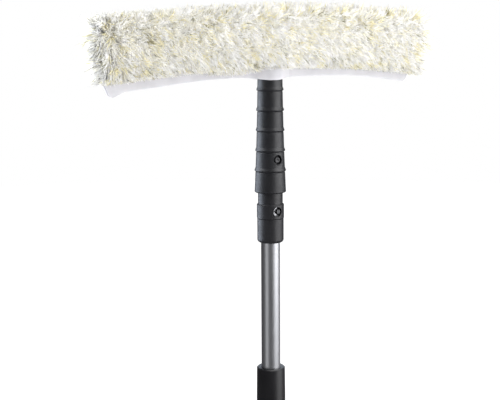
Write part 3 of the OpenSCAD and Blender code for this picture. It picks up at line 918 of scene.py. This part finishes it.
def closure_tape(name, side, inner_y, material):
    """A narrow tape in two lengths, one on each side of the handle."""
    steps = 60
    h = np.array([CLOSURE_LOW, CLOSURE_HIGH, CLOSURE_HIGH, CLOSURE_LOW])
    y = side * np.array([inner_y, inner_y, CLOSURE_Y, CLOSURE_Y])
    vertices, faces = [], []
    for end in (-1, 1):
        s = end * np.linspace(CLOSURE_FIRST, CLOSURE_LAST, steps)
        first = len(vertices)
        vertices += on_arch(s[:, None], y[None, :], h[None, :]).reshape(-1, 3).tolist()
        for i in range(steps - 1):
            for k in range(4):
                a, b = first + 4 * i + k, first + 4 * i + (k + 1) % 4
                faces.append([a, b, b + 4, a + 4])
        faces.append([first + k for k in range(4)])
        faces.append([first + 4 * (steps - 1) + k for k in reversed(range(4))])
    return new_object(name + "_base", vertices, faces, material, "closure_fabric", name, smooth=False)


def closure_half(name, side, base_t, loop_h, loop_w, material):
    """One half of the closure: its tape, and the rows of hooks or loops on its inner face."""
    inner_y = CLOSURE_Y - base_t
    tape = closure_tape(name, side, inner_y, material)
    s, h = np.meshgrid(
        np.arange(CLOSURE_FIRST + 1.2 * MM, CLOSURE_LAST - MM, HOOK_PITCH),
        np.arange(CLOSURE_LOW + MM, CLOSURE_HIGH - 0.5 * MM, HOOK_ROW),
    )
    s = np.concatenate([s.ravel(), -s.ravel()])[:, None]
    h = np.tile(h.ravel(), 2)[:, None]
    turn = np.linspace(0, 1.35 * math.pi, 7)[None, :]
    rise = np.sin(np.minimum(turn, math.pi / 2 + turn * 0.35))
    paths = on_arch(
        s + loop_w * (1 - np.cos(turn)),
        side * (inner_y + HOOK_SINK - loop_h * rise),
        h,
    )
    mesh, _ = thread_mesh(name + "_pile", paths, np.full(paths.shape[:2], HOOK_R))
    return tape, add_piece(name + "_pile", mesh, material, "closure_fabric", name)


# ---- Spring clips behind the two buttons ----

CLIP_T = 0.6 * MM
CLIP_LEG = 24 * MM
CLIP_BEND_R = 1.5 * MM
CLIP_KNEE, CLIP_TOP = 4 * MM, 5 * MM
CLIP_EDGE = 0.12 * MM
# Each strip's button, how far it reaches forwards, its width and its turn round the pole, the
# joint that presses it, and what is left of its depth then
CLIPS = {
    "tube_clip": ("tube_button", 7.5 * MM, 8 * MM, math.radians(7), "tube_button_press", 0.8),
    "latch_clip": ("latch_button", 5.1 * MM, 7 * MM, 0.0, "latch_button_press", 0.53),
}


def spring_clip(node, material):
    """A bent strip, made in its open shape, that the button pushes shut."""
    button, reach, width, turn, joint, keep = CLIPS[node]
    z = (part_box(button)[0].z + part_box(button)[1].z) / 2
    middle = reach - CLIP_T / 2
    bend = CLIP_BEND_R - CLIP_T / 2
    low, knee, top = z - CLIP_LEG, z - CLIP_KNEE, z + CLIP_TOP
    angle = np.linspace(math.pi, 2 * math.pi, 13)
    path = [(-middle, top), (-middle, knee)]
    path += [(bend * math.cos(a), low + bend * math.sin(a)) for a in angle]
    path += [(middle, knee), (middle, top)]
    across = np.linspace(-width / 2, width / 2, 5)
    spin = Matrix.Rotation(turn, 3, "Z")
    vertices = [list(spin @ Vector((x, y, height))) for y, height in path for x in across]
    piece = new_object(
        node + "_spring", vertices, grid_faces(len(path), len(across)),
        material, "spring_steel", node,
    )
    solid = piece.modifiers.new("thickness", "SOLIDIFY")
    solid.thickness, solid.offset = CLIP_T, 0
    edge = piece.modifiers.new("edge", "BEVEL")
    edge.width, edge.segments, edge.limit_method = CLIP_EDGE, 2, "ANGLE"
    bpy.context.view_layer.objects.active = piece
    piece.select_set(True)
    for modifier in ("thickness", "edge"):
        bpy.ops.object.modifier_apply(modifier=modifier)
    piece.select_set(False)
    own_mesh(piece)


# ---- Finishes of the CAD nodes ----


def finish_cad_nodes():
    """Every hard part keeps its own mesh and gets its material."""
    handle = moulded_plastic(
        "handle_plastic", (0.0085, 0.0088, 0.0105), (0.0115, 0.0118, 0.0142), 0.46)
    # The adapter is its own dark plastic, made a little darker as painted shade that falls on it
    adapter = moulded_plastic(
        "adapter_plastic", (0.0115, 0.0113, 0.0130), (0.016, 0.0157, 0.018), 0.40, specular=0.40)
    lock = moulded_plastic(
        "lock_plastic", (0.0072, 0.0068, 0.0082), (0.0098, 0.0093, 0.0112), 0.36)
    inner = moulded_plastic("inner_plastic", (0.02, 0.02, 0.021), (0.028, 0.028, 0.03), 0.5)
    latch = moulded_plastic("latch_plastic", (0.013, 0.0135, 0.015), (0.018, 0.0185, 0.021), 0.4)
    tube = drawn_aluminium("satin_aluminium", (0.485, 0.492, 0.512), (0.542, 0.549, 0.570), 0.45)
    steel = plain_steel("plated_steel", (0.30, 0.31, 0.32), (0.42, 0.43, 0.44), 0.34)
    button = plain_steel("button_steel", (0.05, 0.051, 0.053), (0.08, 0.081, 0.084), 0.38)
    finishes = {
        handle: ("handle_grip",),
        adapter: ("adapter",),
        lock: ("lock_nut", "lock_body", "end_cap"),
        inner: ("tbar_stem", "tbar_beam", "tbar_end_cap_left", "tbar_end_cap_right",
                "guide_bush", "lock_collet"),
        latch: ("latch_button",),
        grip_rubber("grip_rubber"): ("lower_grip",),
        tube: ("outer_tube", "inner_tube"),
        steel: ("stem_screws",),
        button: ("tube_button",),
    }
    for material, names in finishes.items():
        for name in names:
            for slot in NODES[name].material_slots:
                slot.material = material


# ---- The whole scene ----


def add_sleeve():
    """The sleeve with all that is sewn to it."""
    white = woven_tape("binding_weave", (0.52, 0.515, 0.54), (0.58, 0.575, 0.60))
    closure = woven_tape("closure_weave", (0.72, 0.72, 0.73), (0.80, 0.80, 0.81), weave=1400)
    cloth, flat = sleeve_cloth()
    sewn = pile_pieces()
    for name, side in (("binding_front", -1), ("binding_back", 1)):
        sewn += [binding_tape(name, side, white), binding_stitches(name, side, white)]
    sewn += closure_half(
        "hook_tape", -1, base_t=0.5 * MM, loop_h=0.45 * MM, loop_w=0.35 * MM, material=closure)
    sewn += closure_half(
        "loop_tape", 1, base_t=0.6 * MM, loop_h=0.40 * MM, loop_w=0.45 * MM, material=closure)
    return [cloth, *sewn]


def build():
    scene = bpy.context.scene
    scene.view_settings.view_transform = "Standard"
    scene.cycles.diffuse_bounces = scene.cycles.max_bounces = PILE_BOUNCES
    add_camera()
    add_world()
    add_floor()
    finish_cad_nodes()
    add_lights(add_sleeve())
    steel = plain_steel("spring_steel", (0.32, 0.33, 0.35), (0.48, 0.49, 0.50), 0.30)
    for node in CLIPS:
        spring_clip(node, steel)


build()
